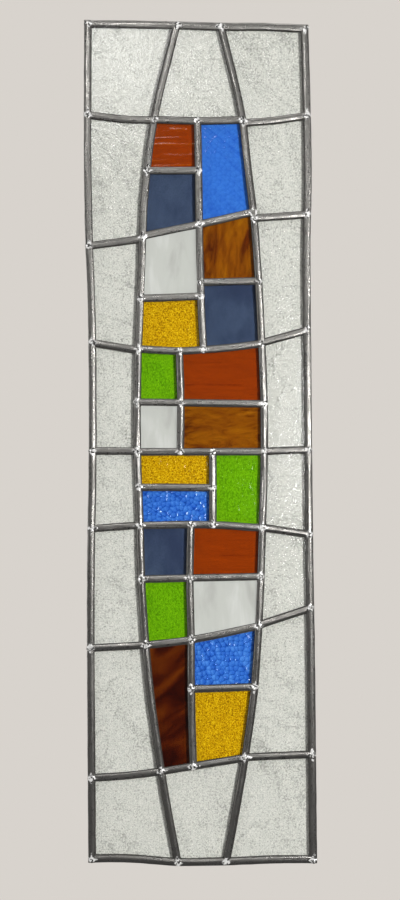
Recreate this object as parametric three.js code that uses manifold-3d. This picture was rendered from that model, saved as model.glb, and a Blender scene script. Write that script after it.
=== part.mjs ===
// A leaded glass panel: panes of plain coloured and clear textured glass held in lead came.
// Two bowed cames run from top to bottom and hold a barrel-shaped field of coloured panes,
// with a column of clear panes on either side.
// Units are millimetres. X runs across the panel, Z up it and Y through it, front at -Y.
// The origin is on the flat of the bottom edge, halfway through the panel's depth.

import * as THREE from 'three';
import { mergeVertices } from 'three/addons/utils/BufferGeometryUtils.js';
import Module from 'manifold-3d';

const wasm = await Module();
wasm.setup();

// ---------- Driving dimensions ----------

const glassThickness = 3;
const fitGap = 0.3; // room that the putty fills between glass and lead
const cameDepth = 6; // front face to back face
const lipThickness = 0.5; // edge of a leaf, where the putty shows
const leadWall = 1.5; // heart of an inner came, outer wall of a border came
const innerFace = 6.2; // width of the leaf of an inner came
const innerCrown = 3; // flat along the middle of that leaf
const borderFace = 7;
const borderEdgeFlat = 4.6; // flat along the outside of the border came
const uprightStep = 33; // longest straight step along an upright came
const barStep = 22; // along a cross bar of the coloured field
const saggingStep = 17; // and along a bar or border that sags
const paneSteps = 4; // straight steps along each curved side of a pane
const panelHeight = 845;

// Centre lines of the upright cames as [height, place], from the bottom up.
const uprights = {
  borderLeft: [[0, -109.5], [305, -109], [390, -107], [560, -107], [620, -109], [690, -110], [845, -109]],
  borderRight: [[0, 110], [220, 110], [300, 109.5], [480, 109.5], [620, 110], [690, 112], [760, 111.5],
    [845, 110]],
  bowLeft: [[0, -24], [92, -40], [175, -51], [270, -58], [350, -60], [412, -62], [515, -60], [600, -56],
    [667, -53], [744, -43], [845, -18]],
  bowRight: [[0, 23], [105, 43], [170, 52.5], [237, 58], [300, 61], [440, 65.5], [520, 63.5], [590, 60.5],
    [650, 56.5], [706, 50], [744, 46.5], [845, 24]],
  dividerTop: [[512, 5], [565, 3], [638, 2], [744, 1]],
  dividerMiddleLeft: [[409, -19], [459, -18], [511, -19]],
  dividerMiddleRight: [[336, 13], [410, 13.5]],
  dividerBottom: [[97, -8.5], [174, -10], [223, -9.5], [284, -10.5], [336, -9]],
};

// Centre lines of the cross bars as [place, height], from left to right. The seven rows reach
// from border to border, in three lengths of came that butt against the bowed cames.
const rows = [
  { left: [[-109, 750], [-77, 745], [-43, 744]], centre: [[-43, 744.5], [1, 743], [47, 744]],
    right: [[47, 741], [79, 743.5], [112, 748.5]] },
  { left: [[-110, 617], [-55, 624]], centre: [[-54, 627], [2, 638.5], [57, 651]],
    right: [[57, 644.5], [110, 648]] },
  { left: [[-107, 520], [-60, 512]], centre: [[-60, 513.5], [-19, 511], [5, 512], [37, 514.5], [63, 518]],
    right: [[63, 518.5], [110, 531]] },
  { left: [[-107, 411.5], [-62, 411]], centre: [[-62, 410.5], [65, 409.5]],
    right: [[65, 410], [110, 411]] },
  { left: [[-109, 334], [-60, 337]], centre: [[-60, 337], [13, 337], [62, 333.5]],
    right: [[62, 334], [110, 326.5]] },
  { left: [[-109, 215.5], [-54, 218]], centre: [[-54, 218], [-9, 223], [58, 236]],
    right: [[58, 236.5], [110, 253]] },
  { left: [[-109, 87.5], [-76, 89], [-40, 93]], centre: [[-40, 93], [43, 105.5]],
    right: [[43, 106], [110, 108]] },
];

// Short cross bars inside the coloured field, from one upright to another.
const shortBars = {
  underOrange1: { line: [[-50, 693], [2, 693]], from: 'bowLeft', to: 'dividerTop' },
  underWhite1: { line: [[-58, 564], [3, 566]], from: 'bowLeft', to: 'dividerTop' },
  underAmber1: { line: [[3, 580], [61, 581]], from: 'dividerTop', to: 'bowRight' },
  underGreen1: { line: [[-61, 460], [66, 457.5]], from: 'bowLeft', to: 'bowRight' },
  underYellow2: { line: [[-61, 375], [13, 374]], from: 'bowLeft', to: 'dividerMiddleRight' },
  underSlate3: { line: [[-59, 283.5], [61, 285]], from: 'bowLeft', to: 'bowRight' },
  underBlue3: { line: [[-10, 174], [53, 175.5]], from: 'dividerBottom', to: 'bowRight' },
};

// Centre lines of the border's top and bottom cames as [place, height], and how far the four
// border cames run: the upright ones go right up to the corners, and hold the others between them.
const borderTop = [[-109, 842], [-40, 841], [0, 840], [25, 839], [70, 839], [110, 837]];
const borderBottom = [[-109, 8], [-76, 8], [-46, 5.5], [-26, 3.5], [34, 3.5], [58, 4.8], [110, 4.5]];

const borderEnds = { left: [4.5, 845.5], right: [840.5, 1], top: [-109, 110], bottom: [110, -109] };

// Coloured panes: name, glass, bar above, bar below, upright on the left, upright on the right.
const colouredPanes = [
  ['glass_orange_1', 'orange', 'row1', 'underOrange1', 'bowLeft', 'dividerTop'],
  ['glass_blue_1', 'blue', 'row1', 'row2', 'dividerTop', 'bowRight'],
  ['glass_slate_1', 'slate', 'underOrange1', 'row2', 'bowLeft', 'dividerTop'],
  ['glass_white_1', 'white', 'row2', 'underWhite1', 'bowLeft', 'dividerTop'],
  ['glass_amber_1', 'amber', 'row2', 'underAmber1', 'dividerTop', 'bowRight'],
  ['glass_yellow_1', 'yellow', 'underWhite1', 'row3', 'bowLeft', 'dividerTop'],
  ['glass_slate_2', 'slate', 'underAmber1', 'row3', 'dividerTop', 'bowRight'],
  ['glass_green_1', 'green', 'row3', 'underGreen1', 'bowLeft', 'dividerMiddleLeft'],
  ['glass_orange_2', 'orange', 'row3', 'underGreen1', 'dividerMiddleLeft', 'bowRight'],
  ['glass_white_2', 'white', 'underGreen1', 'row4', 'bowLeft', 'dividerMiddleLeft'],
  ['glass_amber_2', 'amber', 'underGreen1', 'row4', 'dividerMiddleLeft', 'bowRight'],
  ['glass_yellow_2', 'yellow', 'row4', 'underYellow2', 'bowLeft', 'dividerMiddleRight'],
  ['glass_blue_2', 'blue', 'underYellow2', 'row5', 'bowLeft', 'dividerMiddleRight'],
  ['glass_green_2', 'green', 'row4', 'row5', 'dividerMiddleRight', 'bowRight'],
  ['glass_slate_3', 'slate', 'row5', 'underSlate3', 'bowLeft', 'dividerBottom'],
  ['glass_orange_3', 'orange', 'row5', 'underSlate3', 'dividerBottom', 'bowRight'],
  ['glass_green_3', 'green', 'underSlate3', 'row6', 'bowLeft', 'dividerBottom'],
  ['glass_white_3', 'white', 'underSlate3', 'row6', 'dividerBottom', 'bowRight'],
  ['glass_brown', 'brown', 'row6', 'row7', 'bowLeft', 'dividerBottom'],
  ['glass_blue_3', 'blue', 'row6', 'underBlue3', 'dividerBottom', 'bowRight'],
  ['glass_yellow_3', 'yellow', 'underBlue3', 'row7', 'dividerBottom', 'bowRight'],
];

const leadColour = 0x85858a;
const glassColours = {
  clear: 0xd6d9d3,
  orange: 0x913700,
  blue: 0x3773d7,
  slate: 0x3e4e69,
  white: 0xcdcecb,
  amber: 0x8c5505,
  yellow: 0xd2a500,
  green: 0x5faa0a,
  brown: 0x4b1e00,
};

// ---------- Lines ----------

// A smooth line through its points, as a function that gives the second number for the first.
// Two points make a straight line, which goes on past them.
function through(points) {
  const places = points.map(([along]) => along);
  const values = points.map(([, across]) => across);
  if (points.length === 2) {
    return (along) => THREE.MathUtils.mapLinear(along, ...places, ...values);
  }
  const spline = new THREE.CubicInterpolant(places, values, 1, [0]);
  return (along) => spline.evaluate(along)[0];
}

// A centre line with the distance from it to the edge of the glass that it holds, and the
// longest step that follows it well. A line with two points is straight and takes one step.
function cameLine(points, toGlass, step) {
  return { at: through(points), toGlass, step: points.length > 2 ? step : Infinity };
}

const innerToGlass = leadWall / 2 + fitGap;
const borderToGlass = leadWall + fitGap - borderFace / 2;

const lines = {};
for (const [name, points] of Object.entries(uprights)) {
  const toGlass = name.startsWith('border') ? borderToGlass : innerToGlass;
  lines[name] = cameLine(points, toGlass, uprightStep);
}
for (const [name, bar] of Object.entries(shortBars)) {
  lines[name] = cameLine(bar.line, innerToGlass, barStep);
}
rows.forEach((row, index) => {
  lines[`barLeft${index + 1}`] = cameLine(row.left, innerToGlass, saggingStep);
  lines[`row${index + 1}`] = cameLine(row.centre, innerToGlass, barStep);
  lines[`barRight${index + 1}`] = cameLine(row.right, innerToGlass, saggingStep);
});
lines.borderTop = cameLine(borderTop, borderToGlass, saggingStep);
lines.borderBottom = cameLine(borderBottom, borderToGlass, saggingStep);

// The bottom came stands on its middle stretch, which is held dead level.
const bottomWave = lines.borderBottom.at;
lines.borderBottom.at = (x) => Math.max(borderFace / 2, bottomWave(x));

// The line moved sideways by a distance square to itself.
function moved(line, distance) {
  const reach = 1;
  return (along) => {
    const slope = (line.at(along + reach) - line.at(along - reach)) / (2 * reach);
    return line.at(along) + distance * Math.hypot(1, slope);
  };
}

// Where a bar, height from place, meets an upright, place from height.
function crossing(bar, upright) {
  let x = 0;
  let z = bar(x);
  for (let round = 0; round < 12; round += 1) {
    x = upright(z);
    z = bar(x);
  }
  return { x, z };
}

// ---------- Lead came ----------

// Sections are drawn as (towards the front, across the came). On a border came the second
// number grows towards the middle of the panel.
function section(corners) {
  return new THREE.Shape(corners.map(([depth, across]) => new THREE.Vector2(depth, across)));
}

const halfDepth = cameDepth / 2;
const halfChannel = glassThickness / 2 + fitGap;
const lipTop = halfChannel + lipThickness;
const halfInner = innerFace / 2;
const halfCrown = innerCrown / 2;
const halfHeart = leadWall / 2;
const halfBorder = borderFace / 2;
const wallInside = leadWall - halfBorder;
const halfEdgeFlat = borderEdgeFlat / 2;

// H-shaped came: two leaves, crowned along the middle, joined by the heart.
const innerSection = section([
  [halfChannel, -halfInner], [lipTop, -halfInner], [halfDepth, -halfCrown], [halfDepth, halfCrown],
  [lipTop, halfInner], [halfChannel, halfInner], [halfChannel, halfHeart], [-halfChannel, halfHeart],
  [-halfChannel, halfInner], [-lipTop, halfInner], [-halfDepth, halfCrown], [-halfDepth, -halfCrown],
  [-lipTop, -halfInner], [-halfChannel, -halfInner], [-halfChannel, -halfHeart], [halfChannel, -halfHeart],
]);

// U-shaped came: a flat outer wall with two leaves that reach in over the glass.
const borderSection = section([
  [-halfEdgeFlat, -halfBorder], [halfEdgeFlat, -halfBorder], [halfDepth, -halfCrown],
  [halfDepth, halfCrown], [lipTop, halfBorder], [halfChannel, halfBorder],
  [halfChannel, wallInside], [-halfChannel, wallInside], [-halfChannel, halfBorder],
  [-lipTop, halfBorder], [-halfDepth, halfCrown], [-halfDepth, -halfCrown],
]);

// Plain blocks, deeper than the panel, that cut neighbours back to leave a gap beside a came.
function clearance(outside, inside) {
  return section([
    [cameDepth, outside], [cameDepth, inside], [-cameDepth, inside], [-cameDepth, outside],
  ]);
}
const clearOfInner = clearance(-halfInner - fitGap, halfInner + fitGap);
const clearOfBorder = clearance(-2 * borderFace, halfBorder + fitGap);

// Even places along a line from one end to the other.
function placesAlong(line, from, to) {
  const steps = Math.ceil(Math.abs(to - from) / line.step) || 1;
  return Array.from({ length: steps + 1 }, (_, i) => THREE.MathUtils.lerp(from, to, i / steps));
}

// The points of a line in the XZ plane.
function uprightPoints(line, from, to) {
  return placesAlong(line, from, to).map((z) => new THREE.Vector3(line.at(z), 0, z));
}

function barPoints(line, from, to) {
  return placesAlong(line, from, to).map((x) => new THREE.Vector3(x, 0, line.at(x)));
}

function solidFrom(geometry) {
  geometry.deleteAttribute('normal');
  geometry.deleteAttribute('uv');
  const merged = mergeVertices(geometry, 1e-4);
  return new wasm.Manifold(new wasm.Mesh({
    numProp: 3,
    vertProperties: new Float32Array(merged.attributes.position.array),
    triVerts: new Uint32Array(merged.index.array),
  }));
}

function geometryFrom(solid) {
  const mesh = solid.getMesh();
  const geometry = new THREE.BufferGeometry();
  geometry.setAttribute('position', new THREE.BufferAttribute(mesh.vertProperties, 3));
  geometry.setIndex(new THREE.BufferAttribute(mesh.triVerts, 1));
  const flat = geometry.toNonIndexed();
  flat.computeVertexNormals();
  return flat;
}

// A rail has its rings at the points that it is given, not at equal lengths, and the first axis
// of a section that it carries always looks to the front.
class Rail extends THREE.CatmullRomCurve3 {
  getUtoTmapping(part) {
    return part;
  }

  computeFrenetFrames(steps) {
    const tangents = Array.from({ length: steps + 1 }, (_, i) => this.getTangentAt(i / steps));
    const normals = tangents.map(() => new THREE.Vector3(0, -1, 0));
    const binormals = tangents.map((along, i) => along.clone().cross(normals[i]));
    return { tangents, normals, binormals };
  }
}

// A section carried along a row of points.
function sweep(shape, points) {
  const settings = { steps: points.length - 1, extrudePath: new Rail(points), bevelEnabled: false };
  return solidFrom(new THREE.ExtrudeGeometry(shape, settings));
}

// The same row of points, run on straight by one more point at each end.
function runOn(points) {
  const [first, second] = points;
  const [beforeLast, last] = points.slice(-2);
  const start = first.clone().multiplyScalar(2).sub(second);
  const end = last.clone().multiplyScalar(2).sub(beforeLast);
  return [start, ...points, end];
}

// The border runs clockwise seen from the front, so that its leaves point inwards.
const borderPaths = {
  left: uprightPoints(lines.borderLeft, ...borderEnds.left),
  top: barPoints(lines.borderTop, ...borderEnds.top),
  right: uprightPoints(lines.borderRight, ...borderEnds.right),
  bottom: barPoints(lines.borderBottom, ...borderEnds.bottom),
};
const borderSolids = {};
const borderClearances = {};
for (const [side, points] of Object.entries(borderPaths)) {
  borderSolids[side] = sweep(borderSection, points);
  borderClearances[side] = sweep(clearOfBorder, runOn(points));
}
for (const side of ['top', 'bottom']) {
  borderSolids[side] = borderSolids[side]
    .subtract(borderClearances.left)
    .subtract(borderClearances.right);
}

const bowSolids = {};
const bowClearances = {};
for (const side of ['Left', 'Right']) {
  const points = uprightPoints(lines[`bow${side}`], 0, panelHeight);
  bowSolids[side] = sweep(innerSection, points)
    .subtract(borderClearances.top)
    .subtract(borderClearances.bottom);
  bowClearances[side] = sweep(clearOfInner, points);
}

// An inner came along a bar, from the middle of one upright to the middle of another.
function barBetween(name, from, to) {
  const start = crossing(lines[name].at, lines[from].at);
  const end = crossing(lines[name].at, lines[to].at);
  return sweep(innerSection, barPoints(lines[name], start.x, end.x));
}

// Bars beside the coloured field, cut to fit between the border and the bowed came.
function sideBar(side, index) {
  return barBetween(`bar${side}${index}`, `border${side}`, `bow${side}`)
    .subtract(borderClearances[side.toLowerCase()])
    .subtract(bowClearances[side]);
}

// All the cames inside the coloured field, soldered into one net.
function centreNet() {
  const pieces = rows.map((row, index) => barBetween(`row${index + 1}`, 'bowLeft', 'bowRight'));
  for (const [name, { from, to }] of Object.entries(shortBars)) {
    pieces.push(barBetween(name, from, to));
  }
  const dividerEnds = {
    dividerTop: ['row3', 'row1'],
    dividerMiddleLeft: ['row4', 'row3'],
    dividerMiddleRight: ['row5', 'row4'],
    dividerBottom: ['row7', 'row5'],
  };
  for (const [name, [below, above]] of Object.entries(dividerEnds)) {
    const start = crossing(lines[below].at, lines[name].at);
    const end = crossing(lines[above].at, lines[name].at);
    pieces.push(sweep(innerSection, uprightPoints(lines[name], start.z, end.z)));
  }
  return pieces
    .reduce((net, piece) => net.add(piece))
    .subtract(bowClearances.Left)
    .subtract(bowClearances.Right);
}

// ---------- Glass ----------

// A pane fills the space between four cames, and its edges lie inside their channels.
function paneGeometry(above, below, left, right) {
  const topEdge = moved(lines[above], -lines[above].toGlass);
  const bottomEdge = moved(lines[below], lines[below].toGlass);
  const leftEdge = moved(lines[left], lines[left].toGlass);
  const rightEdge = moved(lines[right], -lines[right].toGlass);
  const corners = [
    crossing(bottomEdge, leftEdge), crossing(bottomEdge, rightEdge),
    crossing(topEdge, rightEdge), crossing(topEdge, leftEdge),
  ];
  const sides = [
    { line: lines[below], point: (x) => [x, bottomEdge(x)], axis: 'x' },
    { line: lines[right], point: (z) => [rightEdge(z), z], axis: 'z' },
    { line: lines[above], point: (x) => [x, topEdge(x)], axis: 'x' },
    { line: lines[left], point: (z) => [leftEdge(z), z], axis: 'z' },
  ];
  const outline = sides.flatMap(({ line, point, axis }, side) => {
    const start = corners[side][axis];
    const end = corners[(side + 1) % 4][axis];
    const steps = line.step === Infinity ? 1 : paneSteps;
    return Array.from({ length: steps }, (_, i) => (
      new THREE.Vector2(...point(THREE.MathUtils.lerp(start, end, i / steps)))
    ));
  });
  const slab = new THREE.ExtrudeGeometry(new THREE.Shape(outline), {
    depth: glassThickness,
    bevelEnabled: false,
  });
  slab.rotateX(Math.PI / 2);
  slab.translate(0, glassThickness / 2, 0);
  return slab;
}

// ---------- Assembly ----------

const panel = new THREE.Group();
const leadwork = new THREE.Group();
const glazing = new THREE.Group();
panel.add(leadwork, glazing);

function addLead(name, solid) {
  const lead = new THREE.MeshStandardMaterial({ color: leadColour, roughness: 0.4, metalness: 0.9 });
  const mesh = new THREE.Mesh(geometryFrom(solid), lead);
  mesh.name = name;
  leadwork.add(mesh);
}

function addGlass(name, glass, ...edges) {
  const material = new THREE.MeshStandardMaterial({
    color: glassColours[glass],
    roughness: 0.15,
    metalness: 0,
    transparent: true,
    opacity: glass === 'clear' ? 0.4 : 0.85,
  });
  const mesh = new THREE.Mesh(paneGeometry(...edges), material);
  mesh.name = name;
  glazing.add(mesh);
}

for (const [side, solid] of Object.entries(borderSolids)) {
  addLead(`came_border_${side}`, solid);
}
for (const side of ['Left', 'Right']) {
  addLead(`came_bow_${side.toLowerCase()}`, bowSolids[side]);
  for (let index = 1; index <= rows.length; index += 1) {
    addLead(`came_bar_${side.toLowerCase()}_${index}`, sideBar(side, index));
  }
}
addLead('came_centre_net', centreNet());

for (const side of ['Left', 'Right']) {
  const uprightsOf = side === 'Left' ? ['borderLeft', 'bowLeft'] : ['bowRight', 'borderRight'];
  for (let index = 1; index <= rows.length + 1; index += 1) {
    const above = index === 1 ? 'borderTop' : `bar${side}${index - 1}`;
    const below = index > rows.length ? 'borderBottom' : `bar${side}${index}`;
    addGlass(`glass_clear_${side.toLowerCase()}_${index}`, 'clear', above, below, ...uprightsOf);
  }
}
addGlass('glass_clear_top', 'clear', 'borderTop', 'row1', 'bowLeft', 'bowRight');
addGlass('glass_clear_bottom', 'clear', 'row7', 'borderBottom', 'bowLeft', 'bowRight');
for (const [name, glass, ...edges] of colouredPanes) {
  addGlass(name, glass, ...edges);
}

export default panel;
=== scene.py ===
# A leaded glass panel, dressed around its CAD frame: rolled glass, lead came, solder and putty.
# The frame is in metres; shapes below are worked out in millimetres, with X across the panel, Z up it
# and `depth` from the middle of the panel towards a face, the front being at -Y.

import bpy
import numpy as np
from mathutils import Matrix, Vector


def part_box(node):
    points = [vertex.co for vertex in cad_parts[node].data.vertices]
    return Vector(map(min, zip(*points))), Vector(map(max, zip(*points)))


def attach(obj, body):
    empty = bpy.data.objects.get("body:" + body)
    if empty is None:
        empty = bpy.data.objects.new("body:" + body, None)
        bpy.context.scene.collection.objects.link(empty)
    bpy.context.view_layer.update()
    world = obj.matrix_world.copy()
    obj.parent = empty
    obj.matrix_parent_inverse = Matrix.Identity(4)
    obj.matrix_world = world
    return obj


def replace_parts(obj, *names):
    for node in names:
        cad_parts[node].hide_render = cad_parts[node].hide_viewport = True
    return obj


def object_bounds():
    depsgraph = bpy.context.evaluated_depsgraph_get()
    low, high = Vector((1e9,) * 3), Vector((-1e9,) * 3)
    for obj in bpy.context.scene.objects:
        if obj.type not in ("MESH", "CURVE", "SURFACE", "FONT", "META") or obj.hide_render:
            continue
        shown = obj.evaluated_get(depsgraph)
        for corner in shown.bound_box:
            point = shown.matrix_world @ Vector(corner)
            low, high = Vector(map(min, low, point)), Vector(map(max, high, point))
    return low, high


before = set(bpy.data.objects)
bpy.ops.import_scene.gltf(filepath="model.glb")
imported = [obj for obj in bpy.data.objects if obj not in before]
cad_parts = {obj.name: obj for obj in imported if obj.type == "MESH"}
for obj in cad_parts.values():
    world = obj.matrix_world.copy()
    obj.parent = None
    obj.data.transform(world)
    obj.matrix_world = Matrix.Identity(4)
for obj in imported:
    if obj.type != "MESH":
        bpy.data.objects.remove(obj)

cad_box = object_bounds()
MM = 0.001


# ---------- Clear panes ----------
# Eighteen panes of clear cathedral glass, 3 mm thick, cut to fill the gaps between the cames. It is
# rolled: the roller leaves a fine stipple on the front with slow waves under it, and a smooth back.

HALF_GLASS = 1.5


def resample(line, count):
    """`count` points at equal lengths along a row of points, by straight lines between them."""
    lengths = np.r_[0, np.cumsum(np.hypot(*np.diff(line, axis=0).T))]
    at = np.linspace(0, lengths[-1], count)
    return np.column_stack([np.interp(at, lengths, line[:, axis]) for axis in (0, 1)])


def pane_sides(glass_node):
    """The four sides of a CAD pane as rows of [x, z] in mm, left to right or bottom to top. The points
    of its front face are put in order round their middle, and it turns most at its four corners."""
    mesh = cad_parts[glass_node].data
    spots = np.empty(len(mesh.vertices) * 3)
    mesh.vertices.foreach_get("co", spots)
    spots = spots.reshape(-1, 3) / MM
    edge = np.unique(spots[spots[:, 1] < 0][:, [0, 2]].round(3), axis=0)
    away = edge - (edge.min(axis=0) + edge.max(axis=0)) / 2
    edge = edge[np.argsort(np.arctan2(away[:, 1], away[:, 0]))]
    into, out = edge - np.roll(edge, 1, axis=0), np.roll(edge, -1, axis=0) - edge
    bend = np.arctan2(into[:, 0] * out[:, 1] - into[:, 1] * out[:, 0], (into * out).sum(axis=1))
    corners = np.sort(np.argsort(bend)[-4:])
    edge = np.roll(edge, -corners[0], axis=0)
    marks = [*(corners - corners[0]), len(edge)]
    edge = np.vstack([edge, edge[:1]])
    bottom, right, top, left = [edge[a:b + 1] for a, b in zip(marks[:-1], marks[1:])]
    return {"bottom": bottom, "right": right, "top": top[::-1], "left": left[::-1]}


def mottle(x, z, size, seed):
    """Smooth random heights from -1 to 1: random values on a square lattice `size` mm wide, blended
    between its points by the smooth step 3f^2 - 2f^3 in both directions. It repeats after `across`
    squares."""
    across = 256
    values = np.random.default_rng(seed).uniform(-1, 1, (across, across))
    i, j = np.floor(x / size).astype(int), np.floor(z / size).astype(int)
    f, g = x / size - i, z / size - j
    f, g = f * f * (3 - 2 * f), g * g * (3 - 2 * g)
    i, j, right, above = i % across, j % across, (i + 1) % across, (j + 1) % across
    low = values[i, j] * (1 - f) + values[right, j] * f
    high = values[i, above] * (1 - f) + values[right, above] * f
    return low * (1 - g) + high * g


def new_piece(name, spots, faces, finish, smooth, tint=None, wrap=None):
    """An object at the origin from points in mm and faces that list them. The first `smooth` faces
    are shaded smooth, `tint` is a number for each point and `wrap` a place for each face corner."""
    mesh = bpy.data.meshes.new(name)
    mesh.from_pydata((spots * MM).tolist(), [], faces)
    mesh.polygons.foreach_set("use_smooth", np.arange(len(mesh.polygons)) < smooth)
    if tint is not None:
        mesh.attributes.new("tint", "FLOAT", "POINT").data.foreach_set("value", tint.ravel())
    if wrap is not None:
        mesh.uv_layers.new(name="wrap").data.foreach_set("uv", wrap.ravel())
    mesh.materials.append(finish)
    piece = bpy.data.objects.new(name, mesh)
    bpy.context.scene.collection.objects.link(piece)
    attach(piece, "root")
    return piece


def pane(glass_node, finish, relief, spacing):
    """A pane over its CAD outline, with points `spacing` mm apart. The front is a Coons patch of the
    four sides: the blend of bottom and top, plus the blend of left and right, less the blend of the
    corners. `relief` gives each point of it a height in mm and a tint from 0 to 1. Flat sides and a
    flat back close it."""
    sides = outlines[glass_node]
    steps_across, steps_up = [int(np.hypot(*np.diff(sides[side], axis=0).T).sum() / spacing) + 1
                              for side in ("top", "left")]
    across, up = np.linspace(0, 1, steps_across + 1), np.linspace(0, 1, steps_up + 1)
    bottom, top = resample(sides["bottom"], len(across)), resample(sides["top"], len(across))
    left, right = resample(sides["left"], len(up)), resample(sides["right"], len(up))
    s, t = across[None, :, None], up[:, None, None]
    rails = (1 - t) * bottom[None] + t * top[None] + (1 - s) * left[:, None] + s * right[:, None]
    corners = (1 - t) * ((1 - s) * bottom[0] + s * bottom[-1]) + t * ((1 - s) * top[0] + s * top[-1])
    patch = rails - corners
    height, tint = relief(patch[..., 0], patch[..., 1])
    front = np.dstack([patch[..., 0], -HALF_GLASS - height, patch[..., 1]])
    number = np.arange(front.shape[0] * front.shape[1]).reshape(front.shape[:2])
    quads = np.dstack([number[:-1, :-1], number[:-1, 1:], number[1:, 1:], number[1:, :-1]]).reshape(-1, 4)
    ring = np.r_[number[0, :-1], number[:-1, -1], number[-1, :0:-1], number[:0:-1, 0]]
    back = front.reshape(-1, 3)[ring]
    back[:, 1] = HALF_GLASS
    rim = number.size + np.arange(len(ring))
    edges = np.column_stack([ring, rim, np.roll(rim, -1), np.roll(ring, -1)])
    spots = np.vstack([front.reshape(-1, 3), back])
    shades = np.r_[tint.ravel(), tint.ravel()[ring]]
    faces = quads.tolist() + edges.tolist() + [rim[::-1].tolist()]
    name = "pane_" + glass_node.removeprefix("glass_")
    piece = new_piece(name, spots, faces, finish, len(quads), shades)
    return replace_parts(piece, glass_node)


def colour(code):
    """An sRGB hex colour as linear red, green, blue and alpha."""
    shares = np.array([int(code[i:i + 2], 16) for i in (1, 3, 5)]) / 255
    linear = np.where(shares <= 0.04045, shares / 12.92, ((shares + 0.055) / 1.055) ** 2.4)
    return (*linear.tolist(), 1.0)


def node(tree, kind, values=None, links=None, **settings):
    """Adds a node to a material: its settings, its sockets' own values, and what they are linked to."""
    made = tree.nodes.new(kind)
    for name, value in settings.items():
        setattr(made, name, value)
    for socket, value in (values or {}).items():
        made.inputs[socket].default_value = value
    for socket, source in (links or {}).items():
        tree.links.new(source, made.inputs[socket])
    return made


def rolled_glass(name, tones, lamp_tint, streak_mm, warp, relief_share, grain_mm, grain_depth_mm,
                 roughness=0.06, see_through=1.0, detail=4, lean=0):
    """Glass whose colour runs through `tones`, pairs of a place from 0 to 1 and a colour. The place is a
    mix of streaks and of the pane's own tint, `relief_share` of the whole. `streak_mm` is the length
    of the streaks along X, Y and Z, `lean` their slant in degrees, and `warp` and `detail` curl and
    feather them. A bump of `grain_mm` is the finest relief. `lamp_tint` is what the glass leaves of a
    lamp's light, so that light falls through it on what stands behind."""
    finish = bpy.data.materials.new(name)
    finish.use_nodes = True
    tree = finish.node_tree
    tree.nodes.clear()
    place = node(tree, "ShaderNodeTexCoord").outputs["Object"]
    stretched = node(tree, "ShaderNodeMapping", {"Scale": [size * MM for size in streak_mm],
                     "Rotation": (0, np.radians(lean), 0)}, {"Vector": place}, vector_type="TEXTURE")
    streaks = node(tree, "ShaderNodeTexNoise", {"Scale": 1, "Detail": detail, "Distortion": warp},
                   {"Vector": stretched.outputs["Vector"]})
    relief = node(tree, "ShaderNodeAttribute", attribute_name="tint")
    shade = node(tree, "ShaderNodeMix", {"Factor": relief_share},
                 {"A": streaks.outputs["Fac"], "B": relief.outputs["Fac"]})
    tone = node(tree, "ShaderNodeValToRGB", links={"Fac": shade.outputs["Result"]})
    tone.color_ramp.interpolation = "EASE"
    for _ in tones[2:]:
        tone.color_ramp.elements.new(0.5)
    for stop, (at, code) in zip(tone.color_ramp.elements, tones):
        stop.position = at
        stop.color = colour(code)
    grain = node(tree, "ShaderNodeTexNoise", {"Scale": 1 / (grain_mm * MM), "Detail": 2}, {"Vector": place})
    bump = node(tree, "ShaderNodeBump", {"Strength": 1, "Distance": grain_depth_mm * MM},
                {"Height": grain.outputs["Fac"]})
    glass = node(tree, "ShaderNodeBsdfPrincipled",
                 {"Roughness": roughness, "IOR": 1.52, "Transmission Weight": see_through},
                 {"Base Color": tone.outputs["Color"], "Normal": bump.outputs["Normal"]})
    lamp = node(tree, "ShaderNodeBsdfTransparent", {"Color": colour(lamp_tint)})
    ray = node(tree, "ShaderNodeLightPath")
    either = node(tree, "ShaderNodeMixShader", links={0: ray.outputs["Is Shadow Ray"],
                                                      1: glass.outputs["BSDF"], 2: lamp.outputs["BSDF"]})
    node(tree, "ShaderNodeOutputMaterial", links={"Surface": either.outputs["Shader"]})
    return finish


def cathedral_relief(x, z):
    """Waves 20 mm long, ripples in thin curved lines where a mottle of 10 mm passes through 0, and a
    stipple of 2.6 mm. The tint follows the waves and turns aside along the ripples."""
    waves = mottle(x, z, 20, 1)
    ripples = np.exp(-(mottle(x, z, 10, 2) / 0.16) ** 2)
    height = 0.07 * waves + 0.05 * ripples + 0.04 * mottle(x, z, 2.6, 3)
    return height, 0.5 + 0.25 * waves - 0.5 * ripples


clear_names = [f"glass_clear_{side}_{i}" for side in ("left", "right") for i in range(1, 9)]
clear_names += ["glass_clear_top", "glass_clear_bottom"]
outlines = {name: pane_sides(name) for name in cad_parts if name.startswith("glass_")}

# Clear rolled soda-lime glass: nearly colourless, with a green-grey cast where it is thick. Its
# stipple is drawn 1.8 mm across, coarser than the real one, so that it shows as pale curled lines.
clear_glass = rolled_glass(
    "Clear rolled cathedral glass",
    [(0.26, "#A3A5A3"), (0.42, "#CBCCCC"), (0.49, "#F0F1EF"), (0.56, "#D8D9DA"),
     (0.7, "#B0B3B1")],
    lamp_tint="#F2F3F0", streak_mm=(1.8, 1.8, 1.8), warp=0, relief_share=0.25,
    grain_mm=1.4, grain_depth_mm=0.12, detail=1)
for name in clear_names:
    pane(name, clear_glass, cathedral_relief, spacing=1.1)


# ---------- Red-orange panes ----------
# Three panes of solid red-orange glass, machine-rolled and smooth, with a few long creases across
# them where the sheet folded slightly as it left the rollers.

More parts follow.
